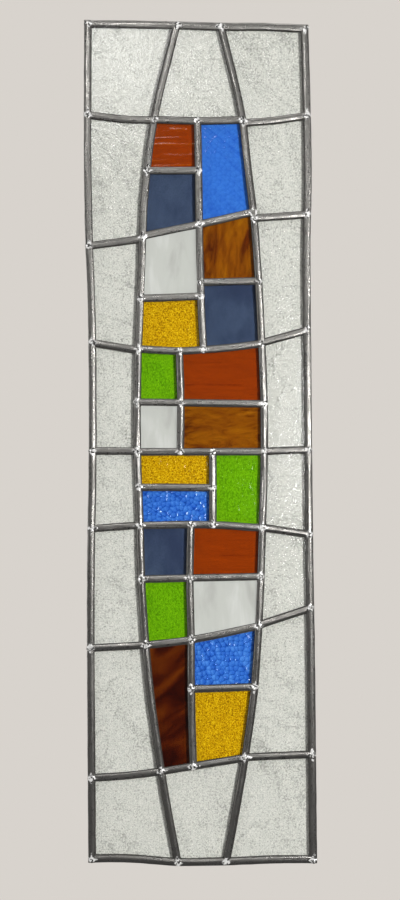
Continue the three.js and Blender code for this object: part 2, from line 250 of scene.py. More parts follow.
def creased(glass_node, creases):
    """The relief of a pane with level creases. Each is (height above the pane's foot, first and last X as
    shares of its width, tint): a bell-shaped ridge 1.5 mm wide that wanders 1.1 mm up and down. A tint
    above 0 paints a pale highlight along the ridge, and one below 0 paints shade along it."""
    low, high = np.array(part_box(glass_node))[:, [0, 2]] / MM

    def relief(x, z):
        height, tint = 0.05 * mottle(x, z, 14, 6), 0.5 + 0.08 * mottle(x / 9, z, 1.5, 4)
        share = (x - low[0]) / (high[0] - low[0])
        for level, first, last, shade in creases:
            line = z - low[1] - level - 1.1 * mottle(x, 0 * x + level, 16, 5)
            ridge = np.exp(-(line / 0.75) ** 2) * (share > first) * (share < last)
            ridge *= 0.7 + 0.3 * mottle(x, 0 * x + level, 3, 7)
            # The tint added along each ridge is painted light: a highlight where it is above 0, shade where
            # it is below.
            height, tint = height + 0.07 * ridge, tint + shade * ridge
        return height, np.clip(tint, 0, 1)
    return relief


# Each crease's last number is painted light along it: above 0 a pale painted highlight, below 0 painted
# shade.
orange_creases_with_painted_light = {
    "glass_orange_1": [(4, 0.0, 1.0, 0.36), (9, 0.0, 0.4, 0.4), (25, 0.0, 1.0, 0.44), (40, 0.45, 0.8, 0.45),
                       (31, 0.1, 0.7, -0.2), (14, 0.3, 1.0, -0.2)],
    "glass_orange_2": [(18, 0.0, 0.75, -0.6), (15, 0.1, 0.8, 0.15), (41, 0.1, 0.5, -0.25)],
    "glass_orange_3": [(21, 0.4, 1.0, -0.5), (36, 0.2, 1.0, -0.2), (12, 0.4, 1.0, 0.12)],
}
# Selenium red-orange glass, smooth off the roller: an even, deep colour in streaks 40 mm long, painted
# paler along some creases as a painted highlight and darker along others as painted shade.
orange_glass = rolled_glass(
    "Red-orange rolled glass",
    [(0.1, "#722100"), (0.4, "#934000"), (0.6, "#A44C00"), (0.95, "#EBA760")],
    lamp_tint="#EEDE98", streak_mm=(40, 3, 6), warp=0.5, relief_share=0.8,
    grain_mm=1.5, grain_depth_mm=0.03)
for name, creases in orange_creases_with_painted_light.items():
    pane(name, orange_glass, creased(name, creases), spacing=0.8)


# ---------- Hammered blue panes ----------
# Three panes of bright blue hammered glass: an embossed roller presses round hollows side by side
# into the front, about 5 mm apart, with sharp ridges between them. The tallest pane is shallowest.

def hollows(x, z, pitch, seed):
    """Each square of a lattice `pitch` mm wide has one hollow at a random place in it. Gives the way
    from the nearest middle along X and Z, and how much further the second nearest is, over the pitch."""
    across = 256
    middles = np.random.default_rng(seed).uniform(0.12, 0.88, (across, across, 2))
    i, j = np.floor(x / pitch).astype(int), np.floor(z / pitch).astype(int)
    nearest, second = np.full(x.shape, 9.0), np.full(x.shape, 9.0)
    from_x, from_z = np.zeros(x.shape), np.zeros(x.shape)
    for right in (-1, 0, 1):
        for up in (-1, 0, 1):
            middle = middles[(i + right) % across, (j + up) % across]
            off_x, off_z = x / pitch - i - right - middle[..., 0], z / pitch - j - up - middle[..., 1]
            away = np.hypot(off_x, off_z)
            closer = away < nearest
            second = np.where(closer, nearest, np.minimum(second, away))
            from_x, from_z = np.where(closer, off_x, from_x), np.where(closer, off_z, from_z)
            nearest = np.where(closer, away, nearest)
    return from_x, from_z, second - nearest


def hammered(depth_mm):
    """The relief of bowls, whose surface rises with the square of the distance from the middle. The tint is
    dark along the ridges between them, and it holds painted light: painted shade on each bowl's lower
    right, where it turns from the light, and a painted highlight on its upper left."""
    def relief(x, z):
        from_x, from_z, rim = hollows(x + 0.8 * mottle(x, z, 6, 8), z, 4.8, 7)
        bowl = np.minimum(np.hypot(from_x, from_z), 0.75) ** 2
        # Painted light: the from_x - from_z term darkens each bowl towards its lower right as painted shade
        # and pales it towards its upper left as a painted highlight.
        shade = 0.65 * np.exp(-(rim / 0.18) ** 2) + 0.6 * (from_x - from_z) - 0.12
        return 2 * depth_mm * bowl - 0.15, np.clip(0.4 + shade * depth_mm / 0.35, 0, 1)
    return relief


# Cobalt blue hammered glass, its bowls painted with light: pale as a painted highlight where each faces the
# light, and deep blue as painted shade on its far side.
blue_glass = rolled_glass(
    "Blue hammered glass",
    [(0.12, "#72ACEB"), (0.34, "#4F8EDC"), (0.6, "#3974CE"), (0.85, "#194AA4")],
    lamp_tint="#D7E6F6", streak_mm=(9, 3, 9), warp=0.5, relief_share=0.8,
    grain_mm=1.2, grain_depth_mm=0.02)
for name, depth_mm in (("glass_blue_1", 0.1), ("glass_blue_2", 0.31), ("glass_blue_3", 0.35)):
    pane(name, blue_glass, hammered(depth_mm), spacing=0.7)


# ---------- Slate-blue panes ----------
# Three panes of dark slate-blue drawn glass, the smoothest in the panel: it is pulled up in a
# sheet and cools in air, which leaves only slow waves.

def drawn_relief(x, z):
    """Slow waves 26 mm long, and a little mottle of 5 mm."""
    waves = mottle(x, z, 26, 11)
    return 0.05 * waves + 0.01 * mottle(x, z, 5, 12), 0.5 + 0.5 * waves


# Slate-blue soda-lime glass, as drawn: flat and glossy, a dull grey-blue with cloudy shifts of tone.
slate_glass = rolled_glass(
    "Slate-blue drawn glass",
    [(0.36, "#45526F"), (0.64, "#586882")],
    lamp_tint="#D9DDE3", streak_mm=(16, 3, 30), warp=0.6, relief_share=0.4,
    grain_mm=1.2, grain_depth_mm=0.02)
for name in ("glass_slate_1", "glass_slate_2", "glass_slate_3"):
    pane(name, slate_glass, drawn_relief, spacing=1.3)


# ---------- Opal white panes ----------
# Three panes of white opal glass. Fluoride in the melt scatters light inside it, so it is milky and
# only half see-through, with faint wisps where the opal and the clear melt were not quite mixed.

# White fluoride opal: a soft milky surface, brighter and greyer by turns in faint upright wisps.
opal_glass = rolled_glass(
    "White opal glass",
    [(0.32, "#B0B1AD"), (0.5, "#C0C2BD"), (0.68, "#CECFCC")],
    lamp_tint="#D9D9D6", streak_mm=(16, 4, 60), warp=0.4, relief_share=0.2,
    grain_mm=1.4, grain_depth_mm=0.02, roughness=0.12, see_through=0.4)
for name in ("glass_white_1", "glass_white_2", "glass_white_3"):
    pane(name, opal_glass, drawn_relief, spacing=1.3)


# ---------- Streaky amber panes ----------
# Two panes of streaky amber glass. A ladle of brown melt is poured into honey-coloured melt and both
# are rolled at once, which draws the brown out into long feathery streaks. One pane is cut with the
# streaks upright, the other with them level.

# Iron-sulphur amber glass: glowing honey where it is thin in brown, near black-brown in the streaks.
amber_tones = [(0.3, "#481500"), (0.4, "#824900"), (0.52, "#9C6303"), (0.7, "#B6820D")]
upright_amber = rolled_glass(
    "Streaky amber glass, upright", amber_tones,
    lamp_tint="#E9DD9B", streak_mm=(11, 4, 48), warp=1.2, relief_share=0.05,
    grain_mm=1.3, grain_depth_mm=0.03, detail=3, lean=8)
level_amber = rolled_glass(
    "Streaky amber glass, level", amber_tones,
    lamp_tint="#E9DD9B", streak_mm=(36, 4, 10), warp=1.2, relief_share=0.05,
    grain_mm=1.3, grain_depth_mm=0.03, detail=3, lean=-4)
pane("glass_amber_1", upright_amber, drawn_relief, spacing=1.3)
pane("glass_amber_2", level_amber, drawn_relief, spacing=1.3)


# ---------- Granular yellow panes ----------
# Three panes of golden yellow granite-back glass: the roller is etched all over, and prints a close
# grain about 2 mm across that glitters as grains tip the light to and fro.

def granular_relief(x, z):
    """Grains 2.2 mm across on slow waves of 12 mm."""
    waves = mottle(x, z, 12, 22)
    return 0.08 * mottle(x, z, 2.2, 21) + 0.05 * waves, 0.5 + 0.3 * waves


# Golden yellow glass off an etched roller: bright curled threads between dull grains, drawn 2 mm
# across as anything finer doesn't show.
yellow_glass = rolled_glass(
    "Golden yellow granular glass",
    [(0.3, "#916E00"), (0.44, "#C49B00"), (0.5, "#FAEC38"), (0.56, "#D2AB02"),
     (0.7, "#987600")],
    lamp_tint="#F2EAAA", streak_mm=(2.0, 2.0, 2.0), warp=0, relief_share=0.15,
    grain_mm=1.3, grain_depth_mm=0.1, detail=1)
for name in ("glass_yellow_1", "glass_yellow_2", "glass_yellow_3"):
    pane(name, yellow_glass, granular_relief, spacing=0.75)


# ---------- Green panes ----------
# Three panes of bright leaf-green glass with a finer grain than the yellow, and faint upright lines
# that the rollers drew along the sheet.

def fine_relief(x, z):
    """Grains 2 mm across, slow waves of 12 mm, and upright lines 2.5 mm apart and 30 mm long."""
    waves = 0.5 * mottle(x, z, 12, 33) + 0.5 * mottle(x, z / 12, 2.5, 32)
    return 0.05 * mottle(x, z, 2, 31) + 0.05 * waves, 0.5 + 0.5 * waves


# Chrome-green glass, finely rolled: fresh leaf green, with paler threads in a grain of 1.8 mm.
green_glass = rolled_glass(
    "Leaf-green rolled glass",
    [(0.3, "#5D9603"), (0.45, "#70AB05"), (0.51, "#98CD17"), (0.57, "#77B207"),
     (0.72, "#659D04")],
    lamp_tint="#E4EFA5", streak_mm=(1.8, 1.8, 2.6), warp=0, relief_share=0.25,
    grain_mm=1.3, grain_depth_mm=0.07, detail=1)
for name in ("glass_green_1", "glass_green_2", "glass_green_3"):
    pane(name, green_glass, fine_relief, spacing=0.75)


# ---------- Streaky brown pane ----------
# One tall pane of the darkest streaky glass: mostly brown melt, with wisps of amber that lean across it.

# Dark brown streaky glass: deep and smoky, lit from within only where the amber wisps cross it.
brown_glass = rolled_glass(
    "Streaky brown glass",
    [(0.34, "#380D00"), (0.47, "#572100"), (0.56, "#723B03"), (0.66, "#834B0A")],
    lamp_tint="#DEC998", streak_mm=(46, 8, 17), warp=0.8, relief_share=0.05,
    grain_mm=1.3, grain_depth_mm=0.03, detail=1, lean=-32)
pane("glass_brown", brown_glass, drawn_relief, spacing=1.3)


# ---------- Border cames ----------
# Four lengths of U-shaped lead came, 7 mm wide, close the panel all round. Lead is drawn through a
# die, pulled straight, bent to the edge of the glass and pressed down over it with a wooden fid.

STEP = 1.5              # between the sections of a came
HALF_BORDER = 3.5       # half the leaf of a border came
BORDER_WALL = 1.5       # its outer wall
CHANNEL_DEPTH = 1.82    # from the middle of the panel to the inside of a leaf
LIP_DEPTH = 1.94        # and to the outside of its lip
CROWN = 0.64            # rise of the leaf above its lip
INNER_SHIFT = 1.05      # from the edge of the glass out to the middle of an inner came
BORDER_SHIFT = -1.7     # and to the middle of a border came, which is inside that edge
AT_CORNER = (1.7, 1.7)      # how far a came runs on past the glass at its two ends
SHORT_OF_CORNER = (-3, -3)  # or stops before its edge, between two others


def came_line(panes, side, shift, run_on):
    """Centre line of a came, as points STEP mm apart: the sides of the panes along it, moved `shift` mm
    out, joined, run on straight at both ends, and evened by a bell-shaped average of 4 mm spread."""
    rows = []
    for name in panes:
        row = resample(outlines[name][side], 24)
        along = np.gradient(row, axis=0)
        along /= np.linalg.norm(along, axis=1, keepdims=True)
        left_hand = np.column_stack([-along[:, 1], along[:, 0]])
        rows.append(row + (shift if side in ("top", "left") else -shift) * left_hand)
    line = np.vstack(rows)
    before = (line[0] - line[4]) / np.linalg.norm(line[0] - line[4])
    after = (line[-1] - line[-5]) / np.linalg.norm(line[-1] - line[-5])
    line = np.vstack([line[0] + run_on[0] * before, line, line[-1] + run_on[1] * after])
    line = resample(line, int(np.hypot(*np.diff(line, axis=0).T).sum() / STEP) + 2)
    reach, spread = 7, 4
    bell = np.exp(-0.5 * (np.arange(-reach, reach + 1) * STEP / spread) ** 2)
    padded = np.vstack([2 * line[0] - line[reach:0:-1], line, 2 * line[-1] - line[-2:-reach - 2:-1]])
    return np.column_stack([np.convolve(padded[:, axis], bell / bell.sum(), "valid") for axis in (0, 1)])


def leaf(half_width):
    """The outside of a came's leaf from edge to edge, by cosine across and, in depth on top of the lip,
    a power of the sine: a low arch with rounded shoulders."""
    turn = np.linspace(0, np.pi, 21)
    return np.column_stack([half_width * np.cos(turn), LIP_DEPTH + CROWN * np.sin(turn) ** 1.4])


def u_section(half_width):
    """Two leaves joined by a wall on the outer side, anticlockwise as (across, depth)."""
    front = leaf(half_width)
    lip, heel = half_width - 0.1, BORDER_WALL - half_width
    inside = [[lip, -CHANNEL_DEPTH], [heel, -CHANNEL_DEPTH], [heel, CHANNEL_DEPTH], [lip, CHANNEL_DEPTH]]
    wall = [[-half_width - 0.02, 1.2], [-half_width - 0.03, 0], [-half_width - 0.02, -1.2]]
    return np.vstack([front, wall, front[::-1] * [1, -1], inside])


def carried(line, section, seed, hand):
    """A section carried along a line. It is uneven by `hand` mm: the line sways every 17 mm, and both
    leaves swell every 9 mm, dent every 10 mm and bear facets and scores about 2 and 1 mm wide that run
    along them. Gives the points, the faces, the wrap, which is the way along and round the came, and
    the tint, which is 0 on the middle of a leaf and 1 at its lip."""
    along = np.gradient(line, axis=0)
    along /= np.linalg.norm(along, axis=1, keepdims=True)
    left_hand = np.column_stack([-along[:, 1], along[:, 0]])
    run = np.arange(len(line))[:, None] * STEP
    across, depth = section[:, 0][None], section[:, 1][None]
    widest = np.abs(across).max()
    girth = np.r_[0, np.cumsum(np.hypot(*np.diff(section, axis=0, append=section[:1]).T))]
    sway = hand * mottle(run, 0 * run, 17, seed)
    swell = 1 + hand * 0.28 * mottle(run, 40 + 20 * np.sign(across), 9, seed + 1)
    facets = mottle(run / 22 + 0 * across, 60 * np.sign(depth) + across, 1.9, seed + 2)
    scores = mottle(run / 30 + 0 * across, 50 * np.sign(depth) + across, 0.9, seed + 4)
    dents = mottle(run + 0 * across, 90 * np.sign(depth) + across, 10, seed + 3)
    on_leaf = np.abs(depth) > LIP_DEPTH + 0.01
    outside = on_leaf * np.clip(1.25 - np.abs(across) / widest, 0, 1)
    out = depth + np.sign(depth) * outside * hand * (facets + 0.45 * scores + 0.8 * dents)
    reach = across * swell + sway
    x, z = line[:, :1] + left_hand[:, :1] * reach, line[:, 1:] + left_hand[:, 1:] * reach
    spots = np.dstack([x, -out, z])
    rings, points = spots.shape[:2]
    number = np.arange(rings * points).reshape(rings, points)
    beside = np.roll(number, -1, axis=1)
    quads = np.dstack([number[:-1], beside[:-1], beside[1:], number[1:]]).reshape(-1, 4)
    faces = quads.tolist() + [number[0, ::-1].tolist(), number[-1].tolist()]
    u, v = np.broadcast_arrays(run, girth[None, :-1])
    v_beside = np.broadcast_to(girth[None, 1:], v.shape)
    corners = [(u[:-1], v[:-1]), (u[:-1], v_beside[:-1]), (u[1:], v_beside[1:]), (u[1:], v[1:])]
    wrap = np.stack([np.stack(corner, axis=-1) for corner in corners], axis=2).reshape(-1, 2)
    wrap = np.vstack([wrap, np.zeros((2 * points, 2))]) * MM
    edge = np.where(np.abs(depth) > CHANNEL_DEPTH + 0.03, np.abs(across) / widest, 1) + 0 * run
    return spots.reshape(-1, 3), faces, wrap, edge.ravel()


def came_piece(name, cames, finish, replaced):
    """Several carried cames as one piece, held inside the CAD model's box."""
    first = 0
    spots, walls, caps, wraps, cap_wraps, edges = [], [], [], [], [], []
    for came_spots, came_faces, wrap, edge in cames:
        shifted = [[corner + first for corner in face] for face in came_faces]
        walls += shifted[:-2]
        caps += shifted[-2:]
        wraps.append(wrap[:4 * (len(came_faces) - 2)])
        cap_wraps.append(wrap[4 * (len(came_faces) - 2):])
        spots.append(came_spots)
        edges.append(edge)
        first += len(came_spots)
    spots = np.clip(np.vstack(spots), np.array(cad_box[0]) / MM, np.array(cad_box[1]) / MM)
    piece = new_piece(name, spots, walls + caps, finish, len(walls), np.concatenate(edges),
                      np.vstack(wraps + cap_wraps))
    if replaced:
        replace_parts(piece, *replaced)
    return piece


def lead_finish(name, dull, rubbed, roughness):
    """Drawn lead: streaks 60 mm long and 0.8 mm wide along the came, blotches of oxide 8 mm across, and
    towards the lips a darkening that is partly dirt left by the putty brush and partly painted shade where
    the leaf meets the glass."""
    finish = bpy.data.materials.new(name)
    finish.use_nodes = True
    tree = finish.node_tree
    tree.nodes.clear()
    wrap = node(tree, "ShaderNodeUVMap", uv_map="wrap").outputs["UV"]
    place = node(tree, "ShaderNodeTexCoord").outputs["Object"]
    drawn = node(tree, "ShaderNodeMapping", {"Scale": (1 / (60 * MM), 1 / (0.8 * MM), 1)}, {"Vector": wrap})
    streaks = node(tree, "ShaderNodeTexNoise", {"Scale": 1, "Detail": 1},
                   {"Vector": drawn.outputs["Vector"]})
    oxide = node(tree, "ShaderNodeTexNoise", {"Scale": 1 / (8 * MM), "Detail": 5, "Roughness": 0.65},
                 {"Vector": place})
    lip = node(tree, "ShaderNodeAttribute", attribute_name="tint")
    worn = node(tree, "ShaderNodeMix", {"Factor": 0.45},
                {"A": streaks.outputs["Fac"], "B": oxide.outputs["Fac"]})
    polish = node(tree, "ShaderNodeMapRange", {"From Min": 0.38, "From Max": 0.62},
                  {"Value": worn.outputs["Result"]})
    metal = node(tree, "ShaderNodeMix", {6: colour(dull), 7: colour(rubbed)},
                 {0: polish.outputs["Result"]}, data_type="RGBA")
    # Towards the lips the lead is darkened to #3A3937: partly putty dirt, partly painted shade where the
    # leaf meets the glass.
    putty_dirt_and_painted_shade = node(tree, "ShaderNodeMapRange", {"From Min": 0.8, "From Max": 1.0, "To Max": 0.75},
                {"Value": lip.outputs["Fac"]})
    dirtied_and_shaded = node(tree, "ShaderNodeMix", {7: colour("#3A3937")},
                  {0: putty_dirt_and_painted_shade.outputs["Result"], 6: metal.outputs[2]}, data_type="RGBA")
    sheen = node(tree, "ShaderNodeMapRange", {"To Min": roughness + 0.14, "To Max": roughness - 0.06},
                 {"Value": polish.outputs["Result"]})
    bump = node(tree, "ShaderNodeBump", {"Strength": 1, "Distance": 0.02 * MM},
                {"Height": streaks.outputs["Fac"]})
    shader = node(tree, "ShaderNodeBsdfPrincipled", {"Metallic": 1},
                  {"Base Color": dirtied_and_shaded.outputs[2], "Roughness": sheen.outputs["Result"],
                   "Normal": bump.outputs["Normal"]})
    node(tree, "ShaderNodeOutputMaterial", links={"Surface": shader.outputs["BSDF"]})
    return finish


left_column = [f"glass_clear_left_{i}" for i in range(8, 0, -1)]
right_column = [f"glass_clear_right_{i}" for i in range(8, 0, -1)]

# Lead came: soft grey metal with a thin oxide, satin along the draw marks and brighter where the fid and
# the brush rubbed it, and darkened at the lips by putty dirt and painted shade.
lead = lead_finish("Drawn lead came", "#9E9B96", "#CBC8C2", 0.27)

# The border lines run round the panel with its middle on their left: down, across, up and back.
border_lines = {
    "left": came_line(left_column, "left", BORDER_SHIFT, AT_CORNER)[::-1],
    "bottom": came_line(["glass_clear_left_8", "glass_clear_bottom", "glass_clear_right_8"], "bottom",
                        BORDER_SHIFT, SHORT_OF_CORNER),
    "right": came_line(right_column, "right", BORDER_SHIFT, AT_CORNER),
    "top": came_line(["glass_clear_left_1", "glass_clear_top", "glass_clear_right_1"], "top",
                     BORDER_SHIFT, SHORT_OF_CORNER)[::-1],
}
for seed, (side, line) in enumerate(border_lines.items()):
    came_piece("border_came_" + side, [carried(line, u_section(HALF_BORDER), 100 + 10 * seed, 0.1)],
               lead, ["came_border_" + side])


# ---------- Bowed cames ----------
# Two lengths of H-shaped came, 6.2 mm wide, bent into long bows from the bottom edge to the top. They
# hold the coloured field between them, and the clear panes on either side.

HALF_INNER = 3.1        # half the leaf of an inner came
HALF_HEART = 0.75       # half the heart between its leaves


def h_section(half_width):
    """Two leaves joined by a heart, anticlockwise as (across, depth)."""
    front = leaf(half_width)
    channel = np.array([[half_width - 0.1, CHANNEL_DEPTH], [HALF_HEART, CHANNEL_DEPTH]])
    left_side = np.vstack([channel * [-1, 1], channel[::-1] * [-1, -1]])
    right_side = np.vstack([channel * [1, -1], channel[::-1]])
    return np.vstack([front, left_side, front[::-1] * [1, -1], right_side])


bow_lines = {
    "left": came_line(left_column, "right", INNER_SHIFT, SHORT_OF_CORNER),
    "right": came_line(right_column, "left", INNER_SHIFT, SHORT_OF_CORNER),
}
for seed, (side, line) in enumerate(bow_lines.items()):
    came_piece("bowed_came_" + side, [carried(line, h_section(HALF_INNER), 200 + 10 * seed, 0.12)], lead,
               ["came_bow_" + side])


# ---------- Side bars ----------
# Fourteen short lengths of the same came between the border and the bows, cut to fit against them.

INTO_CAME = 1.0         # how far a bar runs on past the glass, into the bow it meets
SHORT_OF_BORDER = -3    # and where it stops before the edge of the glass, under the border came

side_bar_lines = {"left": [], "right": []}
for side, run_on in (("left", (SHORT_OF_BORDER, INTO_CAME)), ("right", (INTO_CAME, SHORT_OF_BORDER))):
    for i in range(1, 8):
        side_bar_lines[side].append(came_line([f"glass_clear_{side}_{i}"], "bottom", INNER_SHIFT, run_on))
    bars = [carried(line, h_section(HALF_INNER), 300 + 10 * seed + (side == "right"), 0.12)
            for seed, line in enumerate(side_bar_lines[side])]
    came_piece("side_bars_" + side, bars, lead, [f"came_bar_{side}_{i}" for i in range(1, 8)])


# ---------- Cames of the coloured field ----------
# Cross bars from bow to bow, shorter bars and four upright dividers between the coloured panes. The
# glazier lays them one after another as the panes go in, each cut square against the one it meets.

centre_cames = [
    (["glass_clear_top"], "bottom"),
    (["glass_orange_1"], "bottom"),
    (["glass_slate_1", "glass_blue_1"], "bottom"),
    (["glass_white_1"], "bottom"),
    (["glass_amber_1"], "bottom"),
    (["glass_yellow_1", "glass_slate_2"], "bottom"),
    (["glass_green_1", "glass_orange_2"], "bottom"),
    (["glass_white_2", "glass_amber_2"], "bottom"),
    (["glass_yellow_2"], "bottom"),
    (["glass_blue_2", "glass_green_2"], "bottom"),
    (["glass_slate_3", "glass_orange_3"], "bottom"),
    (["glass_green_3", "glass_white_3"], "bottom"),
    (["glass_blue_3"], "bottom"),
    (["glass_clear_bottom"], "top"),
    (["glass_yellow_1", "glass_white_1", "glass_slate_1", "glass_orange_1"], "right"),
    (["glass_white_2", "glass_green_1"], "right"),
    (["glass_blue_2", "glass_yellow_2"], "right"),
    (["glass_brown", "glass_green_3", "glass_slate_3"], "right"),
]
centre_lines = [came_line(panes, side, INNER_SHIFT, (INTO_CAME, INTO_CAME)) for panes, side in centre_cames]
cames = [carried(line, h_section(HALF_INNER), 500 + 10 * seed, 0.12)
         for seed, line in enumerate(centre_lines)]
came_piece("centre_cames", cames, lead, ["came_centre_net"])


# ---------- Putty ----------
# Whiting and linseed oil putty, blackened with graphite, is brushed under every leaf on both faces
# once the panel is soldered. What is left after cleaning shows as a thin dark bead along each lip.

def beads(half_width, sides):
    """Sections of the beads at the lips of a came, anticlockwise as (across, depth): from under the
    lip, out over the glass and down to it, on the given sides and mirrored in depth."""
    bead = np.array([[-0.35, 1.3], [0.62, 1.3], [0.55, 1.6], [0.2, 1.84], [-0.35, 1.92]])
    for side in sides:
        for face in (1, -1):
            shaped = (bead + [half_width, 0]) * [side, face]
            yield shaped if side * face > 0 else shaped[::-1]


putty = bpy.data.materials.new("Blackened linseed putty")
putty.use_nodes = True
tree = putty.node_tree
tree.nodes.clear()
# Chalky and matt, near black with grey crumbs a millimetre across where the whiting shows.
place = node(tree, "ShaderNodeTexCoord").outputs["Object"]
crumbs = node(tree, "ShaderNodeTexNoise", {"Scale": 1 / (1.2 * MM), "Detail": 4}, {"Vector": place})
tone = node(tree, "ShaderNodeMix", {6: colour("#22211F"), 7: colour("#5A5854")},
            {0: crumbs.outputs["Fac"]}, data_type="RGBA")
rough = node(tree, "ShaderNodeMapRange", {"To Min": 0.75, "To Max": 0.95}, {"Value": crumbs.outputs["Fac"]})
bump = node(tree, "ShaderNodeBump", {"Distance": 0.2 * MM}, {"Height": crumbs.outputs["Fac"]})
shader = node(tree, "ShaderNodeBsdfPrincipled", {"IOR": 1.48},
              {"Base Color": tone.outputs[2], "Roughness": rough.outputs["Result"],
               "Normal": bump.outputs["Normal"]})
node(tree, "ShaderNodeOutputMaterial", links={"Surface": shader.outputs["BSDF"]})

# A bead is smoother than lead, so it takes every second point of the came's line.
inner_lines = [*bow_lines.values(), *side_bar_lines["left"], *side_bar_lines["right"], *centre_lines]
bead_runs = []
for seed, line in enumerate(inner_lines):
    bead_runs += [carried(line[::2], bead, 700 + seed, 0.15) for bead in beads(HALF_INNER, (1, -1))]
came_piece("putty_inner_cames", bead_runs, putty, [])
bead_runs = []
for seed, line in enumerate(border_lines.values()):
    bead_runs += [carried(line[::2], bead, 760 + seed, 0.15) for bead in beads(HALF_BORDER, (1,))]
came_piece("putty_border_cames", bead_runs, putty, [])


# ---------- Solder joints ----------
# Every joint is tinned and soldered on both faces with 60/40 tin and lead. The iron leaves a low
# lumpy dome that runs a few millimetres out along each came and hides the cut ends.

RIM_DEPTH = 2.4         # from the middle of the panel to a dome's rim
DOME_RISE = 0.59        # and from there to its top
UNDERSIDE = 1.7         # depth of its hidden side, inside the leaf


def corner_joints():
    """Where cames meet: each pane's corners moved out to the cames' centre lines, and those that fall
    within 6 mm of one another taken together at their middle."""
    low, high = np.array(cad_box[0])[[0, 2]] / MM, np.array(cad_box[1])[[0, 2]] / MM
    spots = []
    for sides in outlines.values():
        corners = np.array([sides["bottom"][0], sides["bottom"][-1], sides["top"][0], sides["top"][-1]])
        outward = np.array([[-1, -1], [1, -1], [-1, 1], [1, 1]])
        at_border = (np.abs(corners - low) < 8) | (np.abs(corners - high) < 8)
        spots.append(corners + outward * np.where(at_border, BORDER_SHIFT, INNER_SHIFT))
    spots = np.vstack(spots)
    near = np.hypot(*(spots[:, None] - spots[None]).transpose(2, 0, 1)) < 6
    middles = (near @ spots) / near.sum(axis=1, keepdims=True)
    return np.unique(middles.round(1), axis=0)


def solder_domes(joints, lead_points, seed):
    """Domes in polar form, rings by spokes: the rim is 3.7 mm out, and about 7 mm along each came, which
    is found where lead lies 4.5 to 7 mm away. Depth falls from the middle as the square root of one
    less the radius squared, less the lumps, which are 1.7 mm across and only sink into it. The last
    ring drops 0.3 mm more, into the leaf."""
    spoke_count = 36
    spokes, rings = np.linspace(0, 2 * np.pi, spoke_count, endpoint=False), np.linspace(0, 1, 10)[1:]
    spots, faces, first = [], [], 0
    for face in (1, -1):
        for i, joint in enumerate(joints):
            away = lead_points - joint
            length = np.hypot(*away.T)
            arms = np.arctan2(away[:, 1], away[:, 0])[(length > 4.5) & (length < 7)]
            off = np.angle(np.exp(1j * (spokes[:, None] - arms[None])))
            along = np.exp(-(off / 0.34) ** 2).max(axis=1)
            uneven = mottle(3 * np.cos(spokes), 3 * np.sin(spokes), 1.5, seed + i + 60 * (face > 0))
            rim = 3.7 + 0.4 * uneven + along * (3.5 + 0.8 * uneven)
            radius = rings[:, None] * rim[None]
            x, z = joint[0] + radius * np.cos(spokes), joint[1] + radius * np.sin(spokes)
            dome = RIM_DEPTH + DOME_RISE * (1 - rings[:, None] ** 2) ** 0.5
            lumps = mottle(x, z + 300 * face, 1.7, seed)
            depth = dome - 0.25 * (1 - lumps) - 0.3 * (rings[:, None] == 1)
            shell = np.dstack([x, -face * depth, z]).reshape(-1, 3)
            poles = [[joint[0], -face * depth[0].mean(), joint[1]], [joint[0], -face * UNDERSIDE, joint[1]]]
            number = first + np.arange(depth.size).reshape(depth.shape)
            beside = np.roll(number, -1, axis=1)
            quads = np.dstack([number[:-1], number[1:], beside[1:], beside[:-1]]).reshape(-1, 4)
            top, under = first + depth.size, first + depth.size + 1
            fans = [np.column_stack([number[0], beside[0], np.full(spoke_count, top)]),
                    np.column_stack([beside[-1], number[-1], np.full(spoke_count, under)])]
            for part in (quads, *fans):
                faces += (part if face > 0 else part[:, ::-1]).tolist()
            spots += [shell, poles]
            first += depth.size + 2
    return np.vstack(spots), faces


solder = bpy.data.materials.new("Tin-lead solder, iron-finished")
solder.use_nodes = True
tree = solder.node_tree
tree.nodes.clear()
# Bright white metal that froze in small lumps: glossy, with a pattern about 2.4 mm across painted into its
# colour, dark pits as painted shade and near-white frosty flux whitened into painted glints between them,
# and a crinkle of 0.9 mm that breaks up the glints.
place = node(tree, "ShaderNodeTexCoord").outputs["Object"]
frost = node(tree, "ShaderNodeTexNoise", {"Scale": 1 / (2.4 * MM), "Detail": 2}, {"Vector": place})
crinkle = node(tree, "ShaderNodeTexNoise", {"Scale": 1 / (0.9 * MM), "Detail": 3}, {"Vector": place})
# Painted light: the dark pits are painted shade, and the near-white patches between them are painted glints
# as well as frosty flux.
painted_pits_and_glints = node(tree, "ShaderNodeMapRange", {"From Min": 0.44, "From Max": 0.52},
            {"Value": frost.outputs["Fac"]})
tone = node(tree, "ShaderNodeMix", {6: colour("#4E4D4B"), 7: colour("#FCFBF8")},
            {0: painted_pits_and_glints.outputs["Result"]}, data_type="RGBA")
rough = node(tree, "ShaderNodeMapRange", {"To Min": 0.03, "To Max": 0.12}, {"Value": frost.outputs["Fac"]})
bump = node(tree, "ShaderNodeBump", {"Distance": 0.1 * MM}, {"Height": crinkle.outputs["Fac"]})
shader = node(tree, "ShaderNodeBsdfPrincipled", {"Metallic": 0.5},
              {"Base Color": tone.outputs[2], "Roughness": rough.outputs["Result"],
               "Normal": bump.outputs["Normal"]})
node(tree, "ShaderNodeOutputMaterial", links={"Surface": shader.outputs["BSDF"]})

lead_points = np.vstack([*border_lines.values(), *inner_lines])
dome_spots, dome_faces = solder_domes(corner_joints(), lead_points, 900)
dome_spots = np.clip(dome_spots, np.array(cad_box[0]) / MM, np.array(cad_box[1]) / MM)
new_piece("solder_joints", dome_spots, dome_faces, solder, len(dome_faces))


# ---------- Setting ----------
# A pale floor below, a white card close behind the glass, and soft lamps. The card is seen only
# through the glass, as on a light table, so the back of the panel stays open to view.

